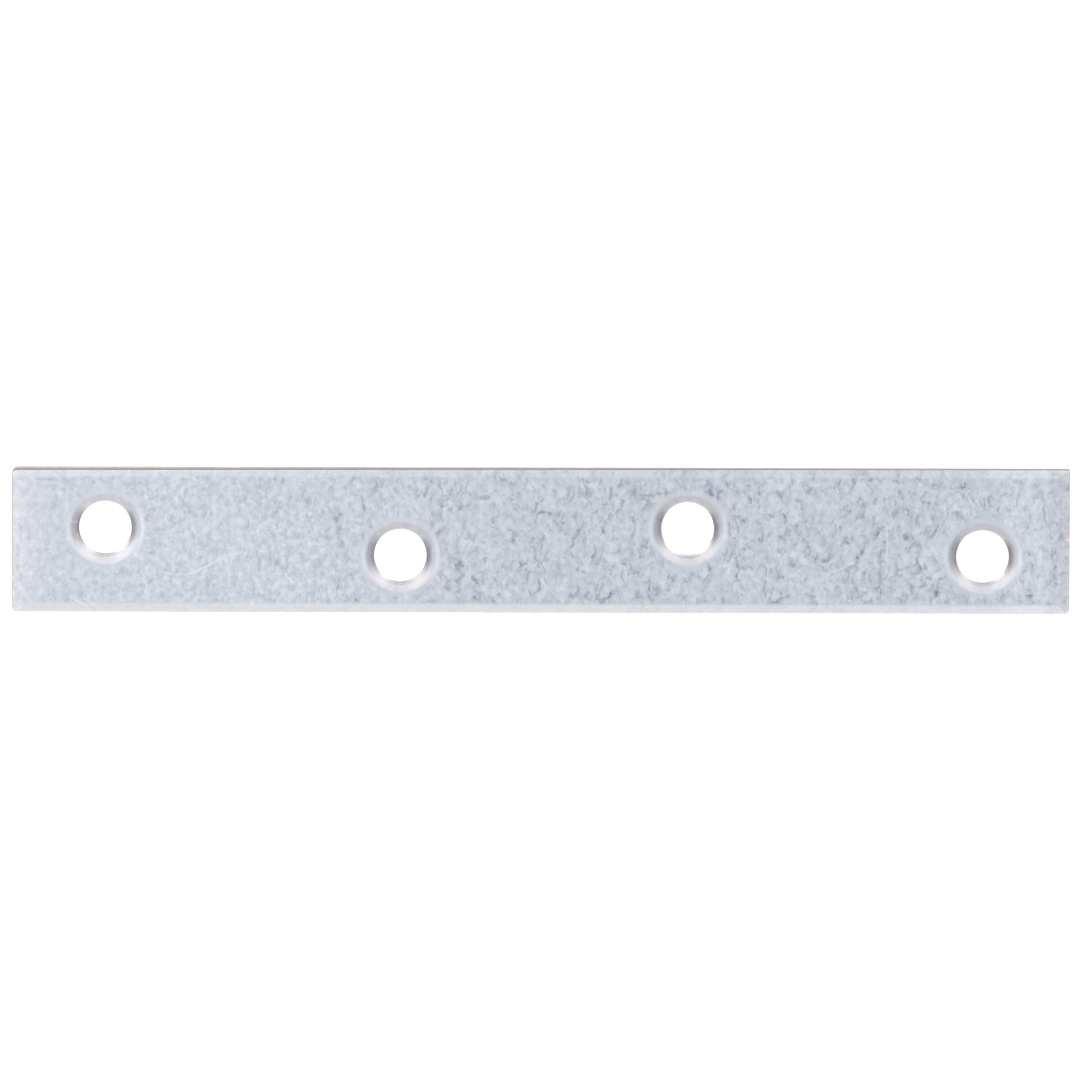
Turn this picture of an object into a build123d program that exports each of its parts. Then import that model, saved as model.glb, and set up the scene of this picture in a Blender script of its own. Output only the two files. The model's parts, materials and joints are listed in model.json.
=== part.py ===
from build123d import *

import os
from math import radians, tan

# Mending plate: a flat strip of galvanised steel with four countersunk screw holes in a zigzag. It is laid
# across a joint in timber, two holes on each side of it, and screwed down.
# Millimetres. Origin at the middle of the back face, +X along the plate, +Y across it, +Z out of the
# countersunk face, so the plate lies on its back.

NODE = "mending_plate"

# Strip
LENGTH = 100.0
WIDTH = 13.7  # across the feet of the two sides
THICKNESS = 2.0
CORNER_RADIUS = 0.4  # of the outline's four corners, seen from above

# Sheared edges. The blade draws the front face down in a shallow band and shears a straight land below it.
# Below the land the metal breaks away, leaning in towards the back.
SIDE_DRAW = 0.85  # width of the drawn band along the two long sides
SIDE_DROP = 0.12  # how far it falls to the land
NEAR_END_DRAW = 1.8  # along the -X end, where the shear's gap was wider
NEAR_END_DROP = 0.2
FAR_END_DRAW = 1.1  # along the +X end
FAR_END_DROP = 0.14
CREASE_RADIUS = 2.5  # where a band leaves the flat face or meets the next band
LAND_TOP_RADIUS = 0.12  # where a band turns over into its land
BREAK_HEIGHT = 0.8  # of the broken part of the edge, above the back face
BREAK_LEAN = 0.06  # how far it leans in over that height
SIDE_LEAN = 0.27  # how far the +Y wall's top is set back at the -X end, where the shear cut out of square

# Screw holes, punched, then countersunk with a press tool that flares the bore's mouth and rolls the rim over
BORE_DIAMETER = 5.0
BORE_STRAIGHT = 0.5  # how far up from the back face the bore stays straight
THROAT_FLARE = 0.15  # how much the bore's radius grows from there to the cone
COUNTERSINK_DEPTH = 1.0  # of the cone if it ran from the straight bore to the flat face
COUNTERSINK_ANGLE = 90.0  # between opposite sides of the cone
RIM_RADIUS = 1.0  # of the roll between the cone and the face
BACK_BREAK = 0.1  # width and height of the break at the bore's back edge
HOLE_TO_END = 8.48  # from the outer holes' centres to the plate's ends, before the shift
CENTRE_GAP = 27.2  # between the two middle holes, which straddle the timber joint
HOLE_TO_SIDE = 5.55  # from each hole's centre to its nearer long side, before the shift
PATTERN_SHIFT = (0.3, -0.24)  # how far along +X and +Y the hole pattern lies off the plate's middle

UP = Vector(0, 0, 1)
TOUCHING = 1e-4  # edges nearer to a face than this lie on it


def sheared(body: Part, outward: Vector, reach: float, draw: float, drop: float) -> Part:
    """body with the drawn band and the broken foot on its side that faces outward, reach from the middle."""
    side = outward * reach
    band = Plane(side + UP * (THICKNESS - drop), z_dir=outward * drop + UP * draw)
    foot = Plane(side + UP * BREAK_HEIGHT, z_dir=outward * BREAK_HEIGHT - UP * BREAK_LEAN)
    for cut in (band, foot):
        body = split(body, bisect_by=cut, keep=Keep.BOTTOM)
    return body


def leaning(body: Part) -> Part:
    """body with its +Y wall cut leaning: set back at the -X end, and square below the roll at the +X end."""
    rounded = SIDE_DROP + 2 * LAND_TOP_RADIUS
    near_foot = Vector(-LENGTH / 2, WIDTH / 2, 0)
    near_top = near_foot + Vector(0, -SIDE_LEAN, THICKNESS)
    far_square = Vector(LENGTH / 2, WIDTH / 2, THICKNESS - rounded)
    outward = (near_top - near_foot).cross(far_square - near_foot)
    return split(body, bisect_by=Plane(near_foot, z_dir=outward), keep=Keep.BOTTOM)


def blank() -> Part:
    """The strip as sheared. The bands of the sides and the ends meet in mitres at the corners."""
    body = leaning(extrude(RectangleRounded(LENGTH, WIDTH, CORNER_RADIUS), THICKNESS))
    body = sheared(body, Vector(-1, 0, 0), LENGTH / 2, NEAR_END_DRAW, NEAR_END_DROP)
    body = sheared(body, Vector(1, 0, 0), LENGTH / 2, FAR_END_DRAW, FAR_END_DROP)
    body = sheared(body, Vector(0, -1, 0), WIDTH / 2, SIDE_DRAW, SIDE_DROP)
    body = sheared(body, Vector(0, 1, 0), WIDTH / 2, SIDE_DRAW, SIDE_DROP)

    front = body.faces().sort_by(Axis.Z)[-1]
    creases_and_mitres = [e for e in body.edges() if e.distance_to(front) < TOUCHING]
    body = fillet(creases_and_mitres, CREASE_RADIUS)

    bands = [f for f in body.faces().filter_by(GeomType.PLANE) if 0.5 < f.normal_at().Z < 1 - TOUCHING]
    return fillet([band.edges().sort_by(Axis.Z)[0] for band in bands], LAND_TOP_RADIUS)


def hole_cutter() -> Part:
    """What one hole takes out, on the Z axis: the bore, its throat, the cone and the rolled rim."""
    bore = BORE_DIAMETER / 2
    mouth = bore + THROAT_FLARE
    cone_slope = COUNTERSINK_ANGLE / 2
    cone_top = bore + COUNTERSINK_DEPTH * tan(radians(cone_slope))
    mouth_height = THICKNESS - (cone_top - mouth) / tan(radians(cone_slope))
    rim_turn = 90 - cone_slope
    rim_reach = RIM_RADIUS * tan(radians(rim_turn / 2))  # down the cone, and out along the face

    full_cone = Line((mouth, mouth_height), (cone_top, THICKNESS))
    cone = Line(full_cone @ 0, full_cone @ 1 - (full_cone % 1) * rim_reach)
    rim = JernArc(cone @ 1, cone % 1, RIM_RADIUS, -rim_turn)
    clear = THICKNESS  # past each face, so that no face of the cutter lies on the plate
    rest = Polyline(
        rim @ 1,
        (cone_top + rim_reach, THICKNESS + clear),
        (0, THICKNESS + clear),
        (0, -clear),
        (bore + BACK_BREAK, -clear),
        (bore + BACK_BREAK, 0),
        (bore, BACK_BREAK),
        (bore, BORE_STRAIGHT),
        cone @ 0,
    )
    half_section = make_face([cone, rim, rest])
    return revolve(Plane.XZ * half_section, Axis.Z)


def hole_centres() -> list[tuple[float, float]]:
    """The four holes from the -X end, in turn beside the +Y and the -Y side."""
    outer = LENGTH / 2 - HOLE_TO_END
    middle = CENTRE_GAP / 2
    stagger = WIDTH / 2 - HOLE_TO_SIDE
    stations = [(-outer, stagger), (-middle, -stagger), (middle, stagger), (outer, -stagger)]
    return [(x + PATTERN_SHIFT[0], y + PATTERN_SHIFT[1]) for x, y in stations]


def mending_plate() -> Part:
    """The blank with its four holes."""
    return blank() - Locations(*hole_centres()) * hole_cutter()


os.makedirs("parts", exist_ok=True)
export_step(mending_plate(), f"parts/{NODE}.step")
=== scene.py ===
import json
import math

import bpy
import numpy as np
from mathutils import Euler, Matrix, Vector, noise
from mathutils.geometry import delaunay_2d_cdt


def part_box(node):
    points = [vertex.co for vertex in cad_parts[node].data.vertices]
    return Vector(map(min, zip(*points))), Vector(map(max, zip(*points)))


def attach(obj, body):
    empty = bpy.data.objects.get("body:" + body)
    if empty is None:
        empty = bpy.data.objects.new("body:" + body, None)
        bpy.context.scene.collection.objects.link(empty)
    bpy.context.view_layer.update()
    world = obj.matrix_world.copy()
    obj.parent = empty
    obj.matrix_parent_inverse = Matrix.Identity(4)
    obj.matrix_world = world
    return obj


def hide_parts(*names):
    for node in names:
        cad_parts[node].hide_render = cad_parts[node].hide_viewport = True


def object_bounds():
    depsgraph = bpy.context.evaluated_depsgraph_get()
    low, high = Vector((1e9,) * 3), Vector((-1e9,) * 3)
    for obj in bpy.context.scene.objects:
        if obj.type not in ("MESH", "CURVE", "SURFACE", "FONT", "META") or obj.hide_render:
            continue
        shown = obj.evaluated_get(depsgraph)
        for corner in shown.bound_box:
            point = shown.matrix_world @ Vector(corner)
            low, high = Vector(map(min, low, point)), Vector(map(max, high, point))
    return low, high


# A galvanised mending plate, lying on a white floor with its countersunk face up.
# Lengths are in millimetres until the mesh and the objects are placed, which is in metres, by MM.

MM = 0.001
NODE = "mending_plate"

# Sheared edges: how wide each drawn band is, and how far it falls to the land below it
SIDE_DRAW, SIDE_DROP = 0.85, 0.12
NEAR_DRAW, NEAR_DROP = 1.8, 0.2  # along the -X end
FAR_DRAW, FAR_DROP = 1.1, 0.14  # along the +X end
CREASE_SOFTNESS = 0.07  # of the crease inside a band, as a share of the band's width
LAND_TOP_RADIUS = 0.12
BREAK_HEIGHT = 0.8
BREAK_LEAN = 0.06
SIDE_LEAN = 0.27  # how far the +Y wall's top is set back at the -X end
FOOT_RADIUS = 0.08
CORNER_RADII = (0.45, 0.15, 0.4, 0.35)  # anticlockwise from the +X -Y corner
RAGGEDNESS = 0.035  # how far the lands' tops wander in from their line

# Countersinks
CONE_SLOPE = math.radians(45)
COUNTERSINK_DEPTH = 1.0
RIM_RADIUS = 1.0
BORE_STRAIGHT = 0.5  # how far up from the back the bore stays straight
THROAT_FLARE = 0.15  # how much its radius grows from there to the cone
BACK_BREAK = 0.1

# Mesh
STEP = 0.25
BACK_STEP = 0.6
BAND_STEPS = (1.25, 1.12, 1.04, 0.96, 0.86, 0.7, 0.5, 0.3, 0.15)  # loops over a band, in band widths
LAND_TURNS = (20, 45, 70, 90)  # loops round the land's top, in degrees
WALL_HEIGHTS = (1.55, 1.3, 1.05, 0.92, 0.8, 0.6, 0.4, 0.2, FOOT_RADIUS)  # loops down the wall
CORNER_POINTS = 6
RING_POINTS = 96
BACK_RINGS = (0.6, 0.3)  # rings on the back round a bore, as distances from it
BREAK_STEPS = ((BACK_BREAK, 0.0), (0.03, 0.05), (0.0, 0.12))  # of a bore's back edge: out from it, and up
THROAT_STEPS = (-0.05, 0.05, 0.5, 0.95)  # from the straight bore to the cone, as shares of the way
CONE_STEPS = (0.06, 0.35, 0.7, 1.0)  # up the cone
RIM_TURNS = (36, 27, 18, 9, 0)  # over the rim, in degrees still to turn
RING_REACH = 4.1  # radius of the last ring round a hole, past which the face is filled with triangles
FLAT = 2.0  # the inset given to points that are on no drawn band
SHARP_ANGLE = math.radians(40)

# Patches of the skin, and their places on the page of its UV map
FRONT, WALL, BORE, BACK = range(4)
PAGE = 50.8  # side of the page
MARGIN = 0.3
ROW_GAP = 0.4
BACK_SCALE = 0.5
BORE_SCALE = 0.75

# Colours of the zinc, among them painted light and shade as marked
FACE = (0.6, 0.641, 0.709)
# Painted highlight: a paler ring of the face round each hole's rim
PAINTED_RIM_HIGHLIGHT = (0.64, 0.665, 0.715)  # round the holes
# The cone's colours, palest at its foot: painted light that lifts the shade deep in the cone
CONE_FOOT, CONE_TOP = (0.7, 0.695, 0.727), (0.66, 0.665, 0.697)
# Painted light and shade on the drawn bands: each band's colour goes by the way it faces, and the long sides'
# lips carry a painted highlight
NEAR_BAND_LIP_PAINTED_LIGHT, NEAR_BAND_CREASE_PAINTED_LIGHT = (0.66, 0.675, 0.725), (0.625, 0.645, 0.7)
END_LIP = (0.58, 0.59, 0.62)
BACK_SIDE_BAND_PAINTED_LIGHT = (0.652, 0.703, 0.77)  # along +Y
FRONT_SIDE_BAND_PAINTED_LIGHT = (0.705, 0.715, 0.758)  # along -Y
FAR_BAND_PAINTED_SHADE = (0.575, 0.605, 0.67)
SIDE_LIP_PAINTED_HIGHLIGHT = (0.74, 0.745, 0.78)
# The pale zinc of specks and scratches, also used for flecks that are painted highlights
SCUFFED_AND_HIGHLIT_ZINC = (0.78, 0.78, 0.81)
TONE_TINT = (1.0, 0.96, 0.88)  # how much of a change of tone reaches red, green and blue

# Colours of the sheared steel
LAND = (0.3, 0.272, 0.262)
BROKEN = (0.66, 0.61, 0.585)
RUST = (0.42, 0.33, 0.27)
THROAT = (0.77, 0.765, 0.79)

# Depth of the bump in each material
ZINC_BUMP = 0.012
STEEL_BUMP = 0.02

# How strong each scratch shows, and the points it runs through
SCRATCHES = (
    (0.55, ((-36.1, -3.0), (-34.8, -3.25), (-33.4, -3.3))),
    (1.0, ((-33.4, -3.3), (-32.0, -2.7), (-30.6, -2.0), (-29.4, -1.4), (-28.3, -1.2))),
    (0.9, ((-29.6, -1.5), (-28.9, -1.15))),
    (0.5, ((32.7, 1.5), (32.7, -3.0))),
    (0.5, ((27.3, -3.0), (28.4, -2.6), (29.8, -1.8))),
    (0.8, ((-24.2, -3.2), (-23.3, -4.2))),
    (0.8, ((-21.5, -1.7), (-20.2, -0.6))),
    (0.7, ((-34.9, 5.6), (-34.0, 6.2), (-33.2, 5.9))),
    (1.0, ((-44.4, -5.5), (-43.0, -6.3))),
    (1.0, ((-43.2, -5.6), (-42.2, -6.2))),
    (0.5, ((45.5, 3.8), (46.1, 4.4))),
    (0.6, ((49.7, 0.2), (49.95, 0.25))),
)

# Camera
LENS = 400.0
FACE_WIDTH = 35.26  # of the plate's length on the 36 mm sensor
TIP, ROLL = math.radians(-5), math.radians(0.145)
AIM = (-0.08, 0.068)  # on the front face

# Lamps, all aimed at the plate's middle: name, place and size in metres, and power in watts
LAMPS = (
    ("left_lamp", (-0.4, 0.0, 0.45), (0.35, 0.35), 0.22),
    ("right_lamp", (0.4, 0.0, 0.4), (0.3, 0.3), 0.12),
    ("back_left_lamp", (-0.42, 0.4, 0.12), (0.45, 0.12), 0.28),
    ("back_lamp", (0.0, 0.5, 0.08), (0.45, 0.12), 0.1),
    ("back_right_lamp", (0.42, 0.4, 0.12), (0.45, 0.12), 0.24),
    ("front_lamp", (0.0, -0.5, 0.12), (0.8, 0.18), 0.2),
)

# The room and the floor. A strength of 1 is white.
ROOM_LIGHT = 0.7  # what the room sheds on things
ROOM_SEEN = 1.0
FLOOR_TONE = 0.35  # what the floor gives back of the light on it
FLOOR_GLOW = 0.87  # what it adds where it is seen
FLOOR_REACH = 1.5  # metres
FLOOR_GAP = 0.01  # below the plate


def plate_sizes(frame):
    """The box and the holes of the plate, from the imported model, in millimetres."""
    low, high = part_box(NODE)
    mounts = [m for m in frame["record"]["mounts"] if m["kind"] == "bore"]
    holes = [(m["pos_m"][0] / MM, m["pos_m"][1] / MM, m["dims"]["r_mm"]) for m in mounts]
    return np.array(low) / MM, np.array(high) / MM, holes


class Shell:
    """Points and faces of one closed skin, put together from loops of points."""

    def __init__(self):
        self.points = []
        self.insets = []
        self.faces = []
        self.patches = []
        self.turns = []

    def loop(self, points, inset):
        start = len(self.points)
        self.points.extend(map(tuple, points))
        self.insets.extend([inset] * len(points))
        return list(range(start, len(self.points)))

    def face(self, corners, patch, turns):
        self.faces.append(corners)
        self.patches.append(patch)
        self.turns.append(turns)

    def skirt(self, chain):
        """Quads between the loops of a chain, each of which comes with the patch of the quads after it."""
        for (first, patch), (second, _) in zip(chain, chain[1:]):
            for i in range(len(first)):
                j = (i + 1) % len(first)
                self.face((first[i], second[i], second[j], first[j]), patch, (i, i, i + 1, i + 1))

    def fill(self, outer, rings, step, patch, facing):
        """Triangles between the outer loop and the rings round the holes, over a grid of that step."""
        rim = outer + [i for ring in rings for i in ring]
        plan = np.array([self.points[i][:2] for i in rim])
        circles = [circle_of(np.array([self.points[i][:2] for i in ring])) for ring in rings]
        grid = hexagons(plan.min(0) + step * 0.7, plan.max(0) - step * 0.7, step)
        for centre, radius in circles:
            grid = grid[np.linalg.norm(grid - centre, axis=1) > radius + step * 0.6]
        height = self.points[outer[0]][2]
        ids = rim + self.loop([(x, y, height) for x, y in grid], FLAT)
        edges, start = [], 0
        for ring in [outer, *rings]:
            edges += [(start + i, start + (i + 1) % len(ring)) for i in range(len(ring))]
            start += len(ring)
        places, _, triangles, sources, _, _ = delaunay_2d_cdt(
            [Vector(p) for p in np.vstack([plan, grid])], edges, [], 0, 1e-7
        )
        for triangle in triangles:
            middle = np.mean([places[i][:] for i in triangle], axis=0)
            if any(np.linalg.norm(middle - centre) < radius for centre, radius in circles):
                continue
            corners = [ids[sources[i][0]] for i in triangle]
            self.face(tuple(corners[::facing]), patch, (0, 0, 0))


def circle_of(ring):
    """The middle of a ring of points, and the radius of the circle that just fits inside it."""
    centre = ring.mean(0)
    return centre, np.linalg.norm((ring[0] + ring[1]) / 2 - centre)


def hexagons(low, high, step):
    """The corners of a grid of equal-sided triangles over a rectangle."""
    row_height = step * 0.866
    rows = round((high[1] - low[1]) / row_height)
    lines = []
    for row, y in enumerate(np.linspace(low[1], high[1], rows + 1)):
        xs = np.arange(low[0] + step / 2 * (row % 2), high[0], step)
        lines.append(np.column_stack([xs, np.full(len(xs), y)]))
    return np.vstack(lines)


def outline(low, high, near, far, side, rounding):
    """Points round the plate, anticlockwise from above, drawn in at its ends and its sides."""
    x0, x1 = low[0] + near, high[0] - far
    y0, y1 = low[1] + side, high[1] - side
    counts = [round((high[k] - low[k]) / STEP) for k in (1, 0, 1, 0)]
    arcs = []
    for k, (x, y) in enumerate([(x1, y0), (x1, y1), (x0, y1), (x0, y0)]):
        radius = CORNER_RADII[k] * rounding
        centre = np.array([x - np.sign(x) * radius, y - np.sign(y) * radius])
        turns = np.radians(np.linspace(90 * k - 90, 90 * k, CORNER_POINTS))
        arcs.append(centre + radius * np.column_stack([np.cos(turns), np.sin(turns)]))
    parts = []
    for k, count in enumerate(counts):
        run = np.linspace(arcs[k][-1], arcs[(k + 1) % 4][0], count + 1)
        parts += [arcs[k], run[1:-1]]
    return np.vstack(parts)


def band_drop(plan, low, high):
    """How far the drawn band falls at each point of a loop, by the side that the point is nearest to."""
    to_near = (plan[:, 0] - low[0]) / NEAR_DRAW
    to_far = (high[0] - plan[:, 0]) / FAR_DRAW
    to_side = np.minimum(plan[:, 1] - low[1], high[1] - plan[:, 1]) / SIDE_DRAW
    nearest = np.argmin([to_near, to_far, to_side], axis=0)
    return np.array([NEAR_DROP, FAR_DROP, SIDE_DROP])[nearest]


def soft_ramp(t):
    """0 on the flat and t on the band, with the crease between them rounded."""
    return CREASE_SOFTNESS * math.log1p(math.exp(t / CREASE_SOFTNESS))


def edge_chain(shell, low, high):
    """Loops from the flat of the front, over the drawn band and down the sheared wall to the back."""
    thickness = high[2] - low[2]
    chain = []

    def add(patch, plan, z, inset=0.0):
        plan = ragged(leant(plan, z, inset, low, high), z, inset, low, high)
        points = np.column_stack([plan, np.broadcast_to(z, len(plan))])
        chain.append((shell.loop(points, inset), patch))

    for t in BAND_STEPS:
        plan = outline(low, high, NEAR_DRAW * t, FAR_DRAW * t, SIDE_DRAW * t, 1 - t * 0.6)
        add(FRONT, plan, thickness - band_drop(plan, low, high) * soft_ramp(1 - t), t)
    for degrees in LAND_TURNS:
        turn = math.radians(degrees)
        inset = LAND_TOP_RADIUS * (1 - math.sin(turn))
        plan = outline(low, high, inset, inset, inset, 1)
        z = thickness - band_drop(plan, low, high) - LAND_TOP_RADIUS * (1 - math.cos(turn))
        add(FRONT if degrees < 45 else WALL, plan, z)
    for z in WALL_HEIGHTS:
        inset = BREAK_LEAN * max(0.0, 1 - z / BREAK_HEIGHT)
        add(WALL, outline(low, high, inset, inset, inset, 1), z)
    foot = ((WALL, FOOT_RADIUS * 0.3, FOOT_RADIUS * 0.3), (BACK, FOOT_RADIUS, 0.0), (BACK, 0.5, 0.0))
    for patch, extra, z in foot:
        inset = BREAK_LEAN + extra
        add(patch, outline(low, high, inset, inset, inset, 1), z, FLAT)
    return chain


def leant(plan, z, inset, low, high):
    """plan with the +Y wall's top set back, less and less towards +X."""
    thickness = high[2] - low[2]
    along = (plan[:, 0] - low[0]) / (high[0] - low[0])
    rounded = SIDE_DROP + 2 * LAND_TOP_RADIUS
    above = np.maximum(0.0, z - (thickness - rounded) * along) / thickness
    on_side = plan[:, 1] > high[1] - 1.2 * SIDE_DRAW
    moved = plan.copy()
    moved[:, 1] -= np.where(on_side, SIDE_LEAN * above * max(0.0, 1 - inset), 0.0)
    return moved


def ragged(plan, z, inset, low, high):
    """plan drawn in a little and unevenly, most at the lands' tops."""
    middle = (low + high) / 2
    share = max(0.0, 1 - inset * 1.5) * np.clip(z / (high[2] - low[2]) * 3 - 2, 0.0, 1.0)
    coarse = [0.5 + noise.noise(Vector((x, y, 3.0)) * 0.9) for x, y in plan]
    fine = [0.5 + noise.noise(Vector((x, y, 9.0)) * 3.3) for x, y in plan]
    depth = RAGGEDNESS * share * np.clip(0.6 * np.array(coarse) + 0.4 * np.array(fine), 0.0, 1.0)
    return plan - np.sign(plan - middle[:2]) * depth[:, None]


def hole_profile(bore, thickness):
    """Radius, height and patch of each ring of a hole, from the back up to the front."""
    cone_top = bore + COUNTERSINK_DEPTH
    rim_reach = RIM_RADIUS * math.tan(CONE_SLOPE / 2)
    straight = np.array([bore, BORE_STRAIGHT])
    mouth = np.array([bore + THROAT_FLARE, thickness - COUNTERSINK_DEPTH + THROAT_FLARE])
    down_cone = rim_reach * np.array([math.cos(CONE_SLOPE), math.sin(CONE_SLOPE)])
    rim_foot = np.array([cone_top, thickness]) - down_cone
    profile = [(bore + out, 0.0, BACK) for out in BACK_RINGS]
    profile += [(bore + out, up, BORE) for out, up in BREAK_STEPS]
    for share in THROAT_STEPS:
        radius, z = straight + (mouth - straight) * share
        profile.append((radius, z, FRONT if share == THROAT_STEPS[-1] else BORE))
    for share in CONE_STEPS:
        radius, z = mouth + (rim_foot - mouth) * share
        profile.append((radius, z, FRONT))
    for turn in np.radians(RIM_TURNS):
        radius = cone_top + rim_reach - RIM_RADIUS * math.sin(turn)
        profile.append((radius, thickness - RIM_RADIUS * (1 - math.cos(turn)), FRONT))
    return profile + [(RING_REACH, thickness, FRONT)]


def hole_chain(shell, hole, thickness):
    """Rings from the back face up the bore, the cone and its rolled rim to the front face."""
    x, y, bore = hole
    turns = np.linspace(0, 2 * np.pi, RING_POINTS, endpoint=False)
    chain = []
    for radius, z, patch in hole_profile(bore, thickness):
        ring = [x + radius * np.cos(turns), y + radius * np.sin(turns), np.full(RING_POINTS, z)]
        chain.append((shell.loop(np.column_stack(ring), FLAT), patch))
    return chain


def plate_shell(low, high, holes):
    """The plate's skin, and its loop at the foot of the roll on the lands' tops."""
    shell = Shell()
    edge = edge_chain(shell, low, high)
    chains = [hole_chain(shell, hole, high[2] - low[2]) for hole in holes]
    for chain in [edge, *chains]:
        shell.skirt(chain)
    shell.fill(edge[0][0], [chain[-1][0] for chain in chains], STEP, FRONT, 1)
    shell.fill(edge[-1][0], [chain[0][0] for chain in chains], BACK_STEP, BACK, -1)
    land_top, _ = edge[len(BAND_STEPS) + len(LAND_TURNS) - 1]
    return shell, land_top


def add_attributes(mesh, shell, holes):
    """What the materials read: how far in from the edge a point is, and how it lies to the nearest hole."""
    away = np.array([np.array(shell.points)[:, :2] - hole[:2] for hole in holes])
    reaches = np.linalg.norm(away, axis=2)
    reach = reaches.min(0)
    nearest = away[reaches.argmin(0), np.arange(len(reach))]
    east, north = (nearest / np.maximum(reach, 0.1)[:, None]).T
    for name, values in (("inset", shell.insets), ("reach", reach), ("east", east), ("north", north)):
        mesh.attributes.new(name, "FLOAT", "POINT").data.foreach_set("value", values)


def build_plate(frame):
    """The plate's skin as one closed mesh, in zinc, with bare steel on its sheared walls and bores."""
    low, high, holes = plate_sizes(frame)
    shell, land_top = plate_shell(low, high, holes)
    mesh = bpy.data.meshes.new("galvanised_plate")
    mesh.from_pydata([Vector(p) * MM for p in shell.points], [], shell.faces)
    mesh.polygons.foreach_set("use_smooth", [True] * len(mesh.polygons))
    mesh.set_sharp_from_angle(angle=SHARP_ANGLE)
    add_attributes(mesh, shell, holes)
    unwrap(mesh, shell, land_top, holes, low, high)
    mesh.materials.append(zinc(near=low[0] + NEAR_DRAW, side=high[1] - SIDE_DRAW))
    mesh.materials.append(sheared_steel())
    bare = [int(patch in (WALL, BORE)) for patch in shell.patches]
    mesh.polygons.foreach_set("material_index", bare)
    plate = bpy.data.objects.new("galvanised_plate", mesh)
    bpy.context.collection.objects.link(plate)
    return plate


def unwrap(mesh, shell, land_top, holes, low, high):
    """Lay the patches on the page: the front in two halves, the back below full size, the walls in strips."""
    size = high - low
    strip = size[0] / 2
    ring = np.array([shell.points[i][:2] for i in land_top + land_top[:1]])
    along = np.concatenate([[0.0], np.cumsum(np.linalg.norm(np.diff(ring, axis=0), axis=1))])
    rows = {BACK: 2 * (size[1] + ROW_GAP)}
    rows[WALL] = rows[BACK] + size[1] * BACK_SCALE + ROW_GAP
    rows[BORE] = rows[WALL] + math.ceil(along[-1] / strip) * (size[2] + ROW_GAP)

    def place(patch, middle, point, turn, part):
        x, y, z = point - low
        if patch == FRONT:
            half = int(middle[0] > 0)
            return x - half * strip, y + half * (size[1] + ROW_GAP)
        if patch == BACK:
            return (size[0] - x) * BACK_SCALE, rows[BACK] + y * BACK_SCALE
        if patch == WALL:
            return along[turn] - part * strip, rows[WALL] + z + part * (size[2] + ROW_GAP)
        girth = 2 * math.pi * holes[part][2] * BORE_SCALE
        return girth * (turn / RING_POINTS) + part * (girth + ROW_GAP), rows[BORE] + z * BORE_SCALE

    layer = mesh.uv_layers.new(name="OFBake")
    spots = []
    for corners, patch, turns in zip(shell.faces, shell.patches, shell.turns):
        points = np.array([shell.points[i] for i in corners])
        middle = points.mean(0)
        part = int(np.mean([along[t] for t in turns]) // strip) if patch == WALL else 0
        if patch == BORE:
            part = int(np.argmin([abs(middle[0] - hole[0]) for hole in holes]))
        spots += [place(patch, middle, point, turn, part) for point, turn in zip(points, turns)]
    layer.data.foreach_set("uv", ((np.array(spots) + MARGIN) / PAGE).ravel())


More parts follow.
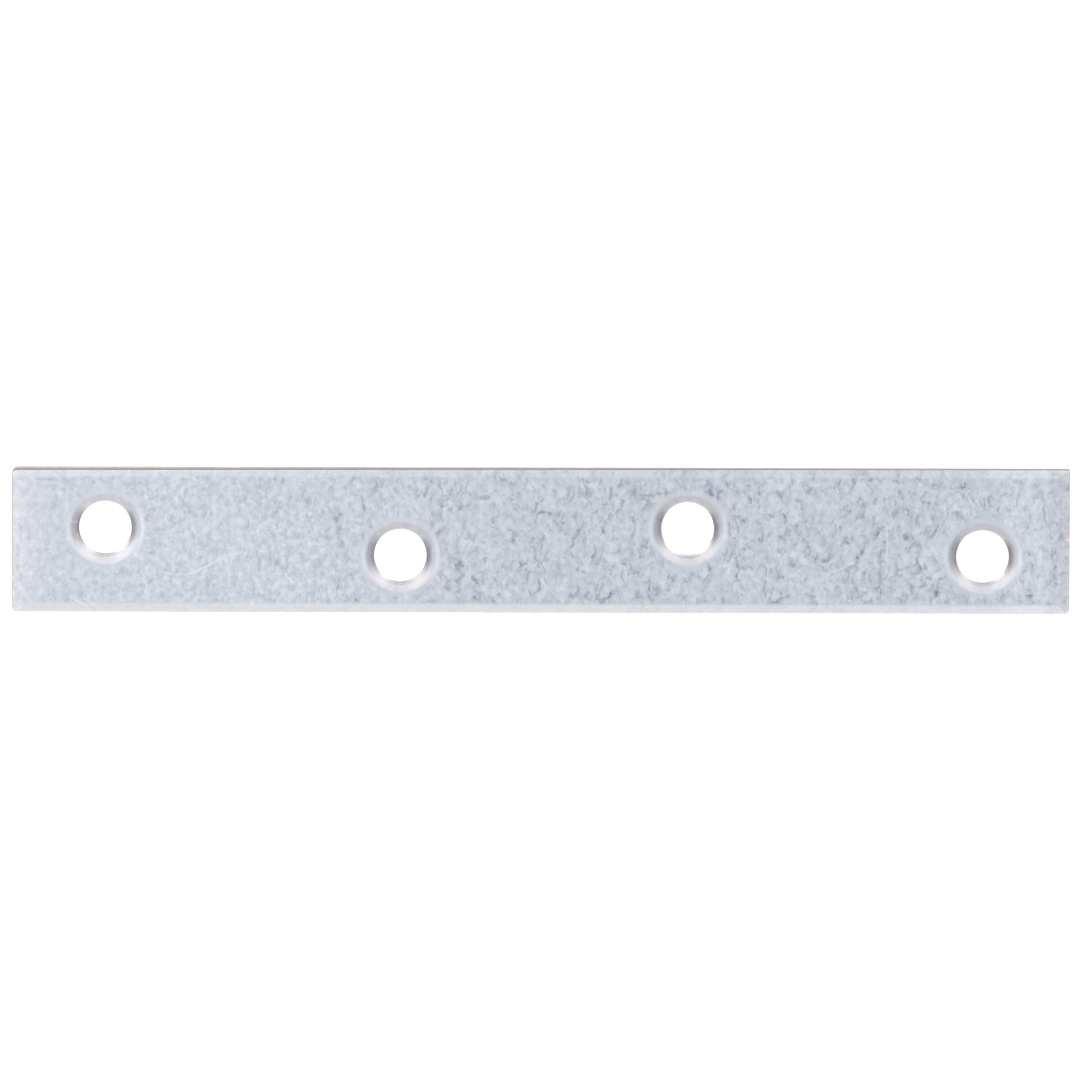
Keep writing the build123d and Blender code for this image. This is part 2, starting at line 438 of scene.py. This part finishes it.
class Nodes:
    """Short calls that add linked shader nodes to a material and return their output sockets."""

    def __init__(self, name):
        self.material = bpy.data.materials.new(name)
        self.material.use_nodes = True
        self.tree = self.material.node_tree
        self.shader = self.tree.nodes["Principled BSDF"]
        self.coordinates = self.add("TexCoord").outputs
        self.place = self.scaled(self.coordinates["Object"], 1 / MM)
        self.reach = self.attribute("reach")

    def add(self, kind, inputs=None, **settings):
        node = self.tree.nodes.new("ShaderNode" + kind)
        for name, value in settings.items():
            setattr(node, name, value)
        for name, value in (inputs or {}).items():
            self.put(node.inputs[name], value)
        return node

    def put(self, socket, value):
        if isinstance(value, bpy.types.NodeSocket):
            self.tree.links.new(value, socket)
        else:
            socket.default_value = value

    def attribute(self, name):
        return self.add("Attribute", attribute_name=name).outputs["Fac"]

    def math(self, operation, *values):
        return self.add("Math", dict(enumerate(values)), operation=operation).outputs[0]

    def fold(self, operation, values):
        """One value from many, by an operation on two at a time."""
        total, *others = values
        for value in others:
            total = self.math(operation, total, value)
        return total

    def sum(self, *terms):
        return self.fold("ADD", terms)

    def product(self, *factors):
        return self.fold("MULTIPLY", factors)

    def largest(self, *values):
        return self.fold("MAXIMUM", values)

    def smallest(self, *values):
        return self.fold("MINIMUM", values)

    def vector(self, operation, *values):
        node = self.add("VectorMath", dict(enumerate(values)), operation=operation)
        return node.outputs["Value" if operation in ("LENGTH", "DOT_PRODUCT") else "Vector"]

    def scaled(self, vector, factor):
        return self.add("VectorMath", {0: vector, "Scale": factor}, operation="SCALE").outputs[0]

    def stretched(self, vector, x, y, z=1.0):
        return self.vector("MULTIPLY", vector, (x, y, z))

    def moved(self, vector, x, y):
        """vector moved along the plate, so that a pattern laid on it is another piece of its kind."""
        return self.vector("ADD", vector, (x, y, 0.0))

    def axes(self, vector):
        """The three numbers of a vector."""
        return self.add("SeparateXYZ", {0: vector}).outputs

    def flat_place(self):
        return self.stretched(self.place, 1.0, 1.0, 0.0)

    def ramp(self, value, start, end, to_start=0.0, to_end=1.0):
        """A smooth step from to_start to to_end as value goes from start to end."""
        inputs = {"Value": value, "From Min": start, "From Max": end, "To Min": to_start, "To Max": to_end}
        return self.add("MapRange", inputs, interpolation_type="SMOOTHSTEP").outputs["Result"]

    def cloud(self, vector, scale, detail=2.0, roughness=0.5):
        """Noise about 0, roughly -1 to 1, with scale in waves per millimetre."""
        inputs = {"Vector": vector, "Scale": scale, "Detail": detail, "Roughness": roughness}
        value = self.add("TexNoise", inputs).outputs[0]
        return self.math("MULTIPLY_ADD", value, 4.0, -2.0)

    def blend(self, factor, first, second):
        """A mix of two colours, each a socket or red, green and blue."""
        colours = {6: as_colour(first), 7: as_colour(second)}
        return self.add("Mix", {0: factor, **colours}, data_type="RGBA").outputs[2]

    def toned(self, colour, tone, tint=(1.0, 1.0, 1.0)):
        """colour scaled by tone, with tint for how much of the change reaches red, green and blue."""
        change = self.vector("MULTIPLY_ADD", self.math("SUBTRACT", tone, 1.0), tint, (1.0, 1.0, 1.0))
        return self.vector("MULTIPLY", colour, change)

    def distance_to(self, start, end):
        """How far the place is, seen from above, from the line between two points."""
        run = (end[0] - start[0], end[1] - start[1], 0.0)
        away = self.vector("SUBTRACT", self.flat_place(), (*start, 0.0))
        share = self.math("DIVIDE", self.vector("DOT_PRODUCT", away, run), run[0] ** 2 + run[1] ** 2)
        share = self.add("Clamp", {"Value": share}).outputs[0]
        return self.vector("LENGTH", self.vector("SUBTRACT", away, self.scaled(run, share)))

    def finished(self, colour, roughness, height, depth):
        """The material, as metal, with a bump in which a height of 1 stands out by depth millimetres."""
        self.put(self.shader.inputs["Base Color"], colour)
        self.shader.inputs["Metallic"].default_value = 1.0
        self.put(self.shader.inputs["Roughness"], roughness)
        bump = self.add("Bump", {"Height": height, "Strength": 1.0, "Distance": depth * MM})
        self.put(self.shader.inputs["Normal"], bump.outputs["Normal"])
        return self.material


def as_colour(value):
    return value if isinstance(value, bpy.types.NodeSocket) else (*value, 1.0)


# In the materials, x and y are places on the plate, and reach is the distance from the nearest hole's axis.
# The cone runs from a reach of 2.65 to one of 3.2, and from there its rim rolls over and ends at 3.9.


def warped(n):
    """The place bent by noise, so that what is laid on it looks grown, and how far each point is moved."""
    push = n.add("TexNoise", {"Vector": n.place, "Scale": 0.7, "Detail": 2.0}).outputs["Color"]
    push = n.scaled(n.vector("SUBTRACT", push, (0.5, 0.5, 0.5)), 0.9)
    return n.vector("ADD", n.place, push), push


def spangle(n, place, size, spread):
    """One layer of zinc crystals about size across: a tone for each, and painted shade and light of their
    relief: each darker towards one side and paler towards the other, with a dark rim down that side on some.

    spread is how much longer the crystals are across the plate than along it."""
    scaled = n.stretched(place, spread / size, 1 / size, 0.0)
    cells = n.add("TexVoronoi", {"Vector": scaled, "Scale": 1.0}, voronoi_dimensions="2D")
    chance = n.add("SeparateColor", {0: cells.outputs["Color"]}).outputs
    side = n.axes(n.vector("NORMALIZE", n.vector("SUBTRACT", scaled, cells.outputs["Position"])))
    left_or_right = n.ramp(chance[1], 0.3, 0.32, -1.0, 1.0)
    tilt = n.math("MULTIPLY_ADD", chance[0], 2.0, -1.2)
    lean = n.product(left_or_right, n.sum(side[0], n.product(side[1], tilt)))
    radius = n.math("MULTIPLY_ADD", chance[1], 0.25, 0.3)
    past = n.math("SUBTRACT", cells.outputs["Distance"], radius)
    rim = n.product(n.ramp(past, -0.24, -0.02), n.ramp(past, 0.0, 0.08, 1.0, 0.0))
    # painted shade: a dark rim down the darker side of some crystals
    dark = n.product(rim, n.ramp(lean, 0.3, 0.95), n.ramp(chance[2], 0.4, 0.8))
    own_tone = n.math("MULTIPLY_ADD", chance[0], 2.0, -1.0)
    # painted relief: each crystal darker towards one side and paler towards the other
    return n.sum(own_tone, n.product(lean, cells.outputs["Distance"], -0.8)), dark


def strokes(n, place, scale, density):
    """Short marks, mostly across the plate, each with one sharp side: a broken contour of a cloud."""
    level = n.cloud(n.stretched(place, 1.5, 0.75), scale, 1.0, 0.4)
    line = n.product(n.ramp(level, 0.0, 0.16), n.ramp(level, 0.16, 0.75, 1.0, 0.0))
    return n.product(line, n.ramp(n.cloud(place, scale * 1.1, 1.0), density, density + 0.5))


def crystals(n, bent):
    """The tone of the crystals, with the painted shade of their relief, and of the strokes between them, and
    the painted shade of the large ones' rims.
    """
    large_tone, large_rim_shade = spangle(n, bent, 1.9, 1.35)
    small_tone, small_rim_shade = spangle(n, n.moved(bent, 31.0, 17.0), 1.1, 1.25)
    marks = n.sum(strokes(n, bent, 0.75, 0.1), strokes(n, n.moved(bent, 9.0, 40.0), 1.1, 0.15))
    tone = n.sum(
        n.product(large_tone, 0.04),
        n.product(small_tone, 0.03),
        # painted shade of the crystals' rims
        n.product(large_rim_shade, -0.22),
        n.product(small_rim_shade, -0.15),
        n.product(marks, -0.25),
    )
    return tone, large_rim_shade


def mottle(n):
    """Cloudy patches, most of them about as wide as the crystals, on a slower change."""
    patches = n.cloud(n.stretched(n.place, 1.1, 0.92), 1.55, 2.0, 0.65)
    return n.sum(n.product(patches, 0.19), n.product(n.cloud(n.place, 0.35, 1.0), 0.03))


def specks(n, push):
    """How strong the small pale spots show. They are in a few cells of a shaken grid."""
    shaken = n.vector("ADD", n.flat_place(), n.stretched(push, 0.5, 0.5, 0.0))
    spots = n.add("TexVoronoi", {"Vector": shaken, "Scale": 1.1}, voronoi_dimensions="2D")
    rare = n.ramp(n.add("SeparateColor", {0: spots.outputs["Color"]}).outputs[0], 0.82, 0.95)
    return n.product(rare, n.ramp(spots.outputs["Distance"], 0.05, 0.4, 1.0, 0.0))


def scratches(n):
    """How strong the scratches show on the front, broken up by noise."""
    lines = []
    for strength, path in SCRATCHES:
        nearest = n.smallest(*(n.distance_to(start, end) for start, end in zip(path, path[1:])))
        lines.append(n.ramp(nearest, 0.02, 0.17, strength, 0.0))
    on_front = n.ramp(n.axes(n.place)[2], 1.0, 1.5)
    return n.product(n.largest(*lines), n.ramp(n.cloud(n.place, 1.5), -1.0, 0.6, 0.4, 1.0), on_front)


def painted_crease_shade(n, x, y, near, side):
    """Painted shade: dark lines inside the long sides' creases, broken up by noise, and unbroken beside the
    -X band.
    """
    off_line = n.math("ABSOLUTE", n.math("SUBTRACT", n.math("ABSOLUTE", y), side - 0.28))
    by_end = n.product(n.ramp(x, near + 4.7, near + 3.7), n.ramp(x, near, near + 0.7))
    broken_up = n.sum(n.ramp(n.cloud(n.place, 0.5), -0.2, 0.9, 0.0, 0.6), by_end)
    return n.product(n.ramp(off_line, 0.0, 0.24, 1.0, 0.0), broken_up)


def painted_hole_shading(n):
    """Painted light and shade round a hole, as a change of its tone.

    Painted shade makes the hole's +X and -X sides darker and a line at its -Y foot; painted light makes its
    -Y half paler than its +Y half, and its -Y corners paler still low in the cone."""
    east, north, reach = n.attribute("east"), n.attribute("north"), n.reach
    across = n.product(n.ramp(north, 1.0, -1.0, -0.07, 0.13), n.ramp(reach, 3.2, 3.6, 1.0, 0.0))
    at_east = n.product(n.ramp(east, 0.7, 1.0), n.ramp(reach, 2.65, 3.2, -0.48, 0.0))
    west_tone = n.sum(n.ramp(reach, 3.0, 3.4, -0.29, 0.0), n.ramp(reach, 2.65, 2.95, -0.16, 0.0))
    at_west = n.product(n.ramp(east, -0.65, -1.0), west_tone)
    at_south = n.product(n.ramp(north, -0.8, -1.0), n.ramp(reach, 2.65, 2.85, -0.2, 0.0))
    on_rim = n.product(n.ramp(reach, 3.1, 3.4), n.ramp(reach, 3.6, 3.9, -0.05, 0.0))
    corner_tone = n.sum(n.ramp(reach, 2.9, 3.6, 0.12, 0.0), on_rim)
    diagonal = n.product(n.math("ABSOLUTE", east), north)
    at_corners = n.product(n.ramp(diagonal, -0.15, -0.45), corner_tone)
    off_back = n.ramp(n.axes(n.place)[2], 0.0, 0.15)
    return n.product(n.sum(across, at_east, at_west, at_south, at_corners), off_back)


def painted_end_light(n, x, y, off_bands, near, side):
    """Painted light and shade: slow changes of tone towards the plate's ends and along its long sides."""
    off_front_band = n.ramp(y, -side - 0.3, -side + 0.1)
    on_back_band = n.ramp(y, side - 0.3, side + 0.1)
    by_ends = n.sum(n.ramp(x, -46.0, -36.0, 0.06, 0.0), n.ramp(x, 40.0, 43.0, 0.0, 0.05))
    return n.sum(
        n.product(n.ramp(x, -36.0, 10.0, 0.0, -0.08), off_front_band),
        n.product(n.ramp(x, near, near + 2.7, 0.05, 0.0), off_bands),
        n.ramp(x, 42.0, 45.5, 0.0, 0.07),
        n.ramp(x, 47.2, 48.4, 0.0, -0.08),
        n.product(by_ends, on_back_band),
    )


def bands_with_painted_light(n, inset, off_bands, colour):
    """colour, with painted light and shade on the drawn bands: the -X band paler than the face and less so
    towards its crease, the +Y, -Y and +X bands each a colour for the way it faces, another colour along the
    lip, and a painted highlight along the long sides' lips.
    """
    on_bands = n.math("SUBTRACT", 1.0, off_bands)
    facing = n.axes(n.coordinates["Normal"])
    lip = n.ramp(inset, 0.02, 0.2, 1.0, 0.0)
    on_sides = n.ramp(n.math("ABSOLUTE", facing[1]), 0.03, 0.1)
    # painted light: the -X band paler than the face, less so towards its crease
    end = n.blend(n.ramp(inset, 0.1, 1.0), NEAR_BAND_LIP_PAINTED_LIGHT, NEAR_BAND_CREASE_PAINTED_LIGHT)
    colour = n.blend(on_bands, colour, n.blend(lip, end, END_LIP))
    # painted light and shade: a colour for each band by the way it faces
    for axis, tilt, band in ((1, 0.1, BACK_SIDE_BAND_PAINTED_LIGHT), (1, -0.1, FRONT_SIDE_BAND_PAINTED_LIGHT), (0, 0.1, FAR_BAND_PAINTED_SHADE)):
        colour = n.blend(n.product(on_bands, n.ramp(facing[axis], 0.3 * tilt, tilt)), colour, band)
    # painted highlight along the long sides' lips
    return n.blend(n.product(lip, on_sides), colour, SIDE_LIP_PAINTED_HIGHLIGHT)


def texture_zones(n, x, y, side):
    """How strong the texture, its clouds and its crystals are: less round the holes and on the bands."""
    off_holes = n.ramp(n.ramp(n.reach, 3.6, RING_REACH, 1.0, 0.0), 0.0, 1.0, 1.0, 0.2)
    off_back_band = n.ramp(y, side - 0.3, side + 0.1, 1.0, 0.55)
    off_front_band = n.ramp(y, -side + 0.3, -side - 0.1, 1.0, 0.24)
    textured = n.product(off_holes, off_back_band, off_front_band)
    cloudy = n.product(textured, n.ramp(x, -50.0, -36.0, 0.75, 1.0), n.ramp(x, -30.0, 5.0, 1.0, 0.8))
    crystalline = n.product(textured, n.ramp(x, -40.0, 5.0, 0.3, 0.97), n.ramp(x, 43.0, 47.0, 1.0, 0.82))
    return textured, cloudy, crystalline


def scuffs_and_highlights(n, bent, push, x):
    """How pale the zinc is made by specks, by scratches, and by both of them and flecks together; the flecks
    are painted highlights.
    """
    bright_end = n.ramp(x, -36.0, 0.0, 1.0, 0.35)
    speck = n.product(specks(n, push), bright_end)
    # painted highlights: pale flecks, most towards the -X end
    fleck = n.product(strokes(n, n.moved(bent, 70.0, 5.0), 1.7, 0.35), bright_end)
    scratch = scratches(n)
    scuffed_and_highlit = n.sum(n.product(speck, 0.65), n.product(fleck, 0.65), n.product(scratch, 0.85))
    return speck, scratch, n.smallest(scuffed_and_highlit, 1.0)


def zinc(near, side):
    """Galvanised face: crystals in bluish grey, fainter on the drawn bands and round the holes, with painted
    light and shade on the bands, round the holes, in the crystals' relief and towards the ends.

    near and side are where the creases of the -X and +Y bands lie."""
    n = Nodes("galvanised_zinc")
    x, y, _ = n.axes(n.place)
    inset = n.attribute("inset")
    off_bands = n.ramp(inset, 0.8, 1.1)
    cone = n.ramp(n.reach, 3.15, 3.4, 1.0, 0.0)
    # painted highlight round the holes' rims
    rim_highlight_mask = n.ramp(n.reach, 3.6, RING_REACH, 1.0, 0.0)
    textured, cloudy, crystalline = texture_zones(n, x, y, side)

    bent, push = warped(n)
    crystal_tone, large_rim_shade = crystals(n, bent)
    crystal_tone = n.product(crystal_tone, crystalline)
    clouds = mottle(n)
    dots = n.product(strokes(n, n.moved(bent, 50.0, 20.0), 2.1, 0.3), n.ramp(x, -47.0, -38.0))
    grain = n.cloud(n.place, 6.0, 1.0, 0.5)
    speck, scratch, scuffed_and_highlit = scuffs_and_highlights(n, bent, push, x)

    tone = n.sum(
        1.0,
        # crystals, with the painted shade and light of their relief
        crystal_tone,
        n.product(clouds, cloudy),
        n.product(dots, -0.12, textured),
        n.product(grain, 0.03),
        # painted shade in the long sides' creases
        n.product(painted_crease_shade(n, x, y, near, side), -0.1),
        # painted light and shade round the holes
        painted_hole_shading(n),
        # painted light and shade towards the ends and along the long sides
        painted_end_light(n, x, y, off_bands, near, side),
    )
    # painted light and shade on the drawn bands, and a painted highlight round the holes
    colour = bands_with_painted_light(n, inset, off_bands, n.blend(n.product(rim_highlight_mask, 0.6), FACE, PAINTED_RIM_HIGHLIGHT))
    # painted light: the cone palest at its foot, lifting the shade deep in it
    colour = n.blend(cone, colour, n.blend(n.ramp(n.reach, 2.8, 3.4), CONE_FOOT, CONE_TOP))
    # pale where scuffed by specks and scratches, and painted highlights on the flecks
    colour = n.blend(scuffed_and_highlit, n.toned(colour, tone, TONE_TINT), SCUFFED_AND_HIGHLIT_ZINC)
    roughness = n.sum(0.42, n.product(clouds, 0.15), n.product(large_rim_shade, 0.1), n.product(cone, 0.16))
    height = n.sum(
        n.product(crystal_tone, 1.5),
        n.product(clouds, 1.6),
        n.product(grain, 0.1),
        n.product(scratch, -0.5),
        n.product(speck, 0.3),
    )
    return n.finished(colour, roughness, height, ZINC_BUMP)


def sheared_steel():
    """Bare steel of the sheared walls and the bores: a dark burnished land above a paler, coarse break."""
    n = Nodes("sheared_steel")
    edge = n.sum(n.axes(n.place)[2], n.product(n.cloud(n.place, 0.6), 0.12))
    broken = n.ramp(edge, BREAK_HEIGHT, 1.05, 1.0, 0.0)
    in_hole = n.ramp(n.reach, 3.0, 5.0, 1.0, 0.0)
    drag = n.cloud(n.stretched(n.place, 6.0, 6.0, 0.4), 1.0, 3.0)
    coarse = n.cloud(n.place, 7.0, 4.0, 0.7)
    rust = n.ramp(n.cloud(n.place, 0.9), 0.2, 1.2)
    patchy = n.cloud(n.stretched(n.place, 1.0, 1.0, 0.3), 0.12)

    tone = n.sum(1.0, n.product(drag, 0.1), n.product(coarse, broken, 0.15), n.product(patchy, broken, 0.2))
    wall = n.blend(n.product(rust, 0.5), n.blend(broken, LAND, BROKEN), RUST)
    # the throat's steel takes the same painted light and shade round the hole
    throat = n.toned(THROAT, n.math("MULTIPLY_ADD", painted_hole_shading(n), 1.33, 1.0))
    colour = n.toned(n.blend(in_hole, wall, throat), tone)
    roughness = n.sum(0.38, n.product(broken, 0.2), n.product(drag, 0.04), n.product(in_hole, 0.2))
    height = n.sum(n.product(drag, 0.4), n.product(coarse, broken))
    return n.finished(colour, roughness, height, STEEL_BUMP)


def make_camera(low, high):
    """A long lens above the plate, tipped towards its +Y side."""
    data = bpy.data.cameras.new("camera")
    data.lens = LENS
    data.clip_start, data.clip_end = 0.05, 10.0
    camera = bpy.data.objects.new("camera", data)
    bpy.context.collection.objects.link(camera)
    turn = Euler((TIP, 0, ROLL))
    aim = Vector((AIM[0] * MM, AIM[1] * MM, high.z))
    distance = (high.x - low.x) * LENS / FACE_WIDTH
    camera.rotation_euler = turn
    camera.location = aim + turn.to_matrix() @ Vector((0, 0, distance))
    bpy.context.scene.camera = camera


def make_lamp(name, place, size, power):
    """A lamp aimed at the plate's middle, which the camera doesn't see."""
    data = bpy.data.lights.new(name, "AREA")
    data.shape = "RECTANGLE"
    data.size, data.size_y = size
    data.energy = power
    lamp = bpy.data.objects.new(name, data)
    bpy.context.collection.objects.link(lamp)
    lamp.location = place
    to_middle = Vector((0, 0, 0)) - Vector(place)
    lamp.rotation_euler = to_middle.to_track_quat("-Z", "Y").to_euler()
    lamp.visible_camera = False


def seen_directly(tree):
    """1 for the camera, reflections and clear materials, and 0 for the light that falls on things."""
    path = tree.nodes.new("ShaderNodeLightPath")
    seen = path.outputs["Is Camera Ray"]
    for name in ("Is Glossy Ray", "Is Transmission Ray"):
        either = tree.nodes.new("ShaderNodeMath")
        either.operation = "MAXIMUM"
        tree.links.new(seen, either.inputs[0])
        tree.links.new(path.outputs[name], either.inputs[1])
        seen = either.outputs[0]
    return seen


def level_by_ray(tree, socket, unseen, seen):
    """Link a strength to the socket: unseen for light that falls on things, and seen for direct looks."""
    level = tree.nodes.new("ShaderNodeMapRange")
    level.inputs["To Min"].default_value = unseen
    level.inputs["To Max"].default_value = seen
    tree.links.new(seen_directly(tree), level.inputs["Value"])
    tree.links.new(level.outputs["Result"], socket)


def make_world():
    """White to the camera and in reflections, and plain soft light for the rest."""
    world = bpy.data.worlds.new("studio")
    bpy.context.scene.world = world
    world.use_nodes = True
    background = world.node_tree.nodes["Background"]
    background.inputs["Color"].default_value = (1, 1, 1, 1)
    level_by_ray(world.node_tree, background.inputs["Strength"], ROOM_LIGHT, ROOM_SEEN)


def make_floor(low):
    """White to the camera, with the plate's soft shadow."""
    mesh = bpy.data.meshes.new("floor")
    corners = [(x * FLOOR_REACH, y * FLOOR_REACH, 0) for x, y in ((-1, -1), (1, -1), (1, 1), (-1, 1))]
    mesh.from_pydata(corners, [], [(0, 1, 2, 3)])
    floor = bpy.data.objects.new("floor", mesh)
    floor.location.z = low.z - FLOOR_GAP * MM
    bpy.context.collection.objects.link(floor)
    paint = bpy.data.materials.new("white_floor")
    paint.use_nodes = True
    shader = paint.node_tree.nodes["Principled BSDF"]
    shader.inputs["Base Color"].default_value = (FLOOR_TONE, FLOOR_TONE, FLOOR_TONE, 1)
    shader.inputs["Roughness"].default_value = 0.9
    shader.inputs["Specular IOR Level"].default_value = 0.0
    shader.inputs["Emission Color"].default_value = (1, 1, 1, 1)
    level_by_ray(paint.node_tree, shader.inputs["Emission Strength"], 0.0, FLOOR_GLOW)
    mesh.materials.append(paint)


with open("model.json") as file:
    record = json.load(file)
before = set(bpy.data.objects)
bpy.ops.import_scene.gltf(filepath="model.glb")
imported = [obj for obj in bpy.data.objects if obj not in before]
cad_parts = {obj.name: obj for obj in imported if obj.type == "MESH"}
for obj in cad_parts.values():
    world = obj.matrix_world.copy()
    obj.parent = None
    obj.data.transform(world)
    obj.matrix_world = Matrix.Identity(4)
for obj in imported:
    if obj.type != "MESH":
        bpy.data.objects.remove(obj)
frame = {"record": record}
cad_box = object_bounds()
low, high = cad_box
plate = build_plate(frame)
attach(plate, "root")
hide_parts(NODE)
make_camera(low, high)
make_world()
make_floor(low)
for lamp in LAMPS:
    make_lamp(*lamp)
bpy.context.scene.view_settings.view_transform = "Standard"
